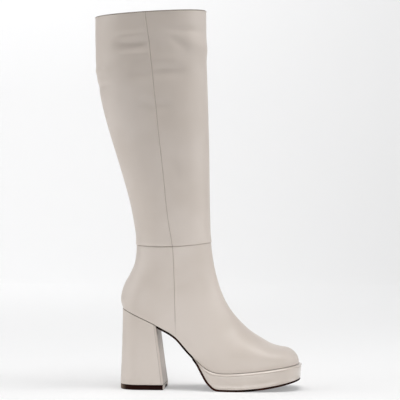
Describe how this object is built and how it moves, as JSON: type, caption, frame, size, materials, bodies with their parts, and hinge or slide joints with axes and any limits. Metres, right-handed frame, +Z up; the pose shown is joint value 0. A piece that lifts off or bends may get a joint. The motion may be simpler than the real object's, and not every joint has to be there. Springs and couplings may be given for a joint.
{
  "type": "heeled boot",
  "caption": "Knee-high smooth boot with a tall open shaft, wrapped platform, flared block heel and thin dark outsole, right foot.",
  "frame": {"origin": "on the floor, in the middle of the standing boot's box", "axes": "+X towards the toe, +Y towards the inner side of the foot, +Z up"},
  "size_m": [0.261, 0.096, 0.4791],
  "materials": {
    "smooth_upper": "satin",
    "smooth_shaft": "satin",
    "lining": "matte",
    "platform_cover": "satin",
    "heel_cover": "satin",
    "outsole_rubber": "satin",
    "top_lift_rubber": "satin"
  },
  "bodies": {
    "root": {"upper": "smooth_upper", "shaft": "smooth_shaft", "insole": "lining", "platform": "platform_cover", "outsole": "outsole_rubber", "heel": "heel_cover", "top_lift": "top_lift_rubber"}
  },
  "joints": []
}
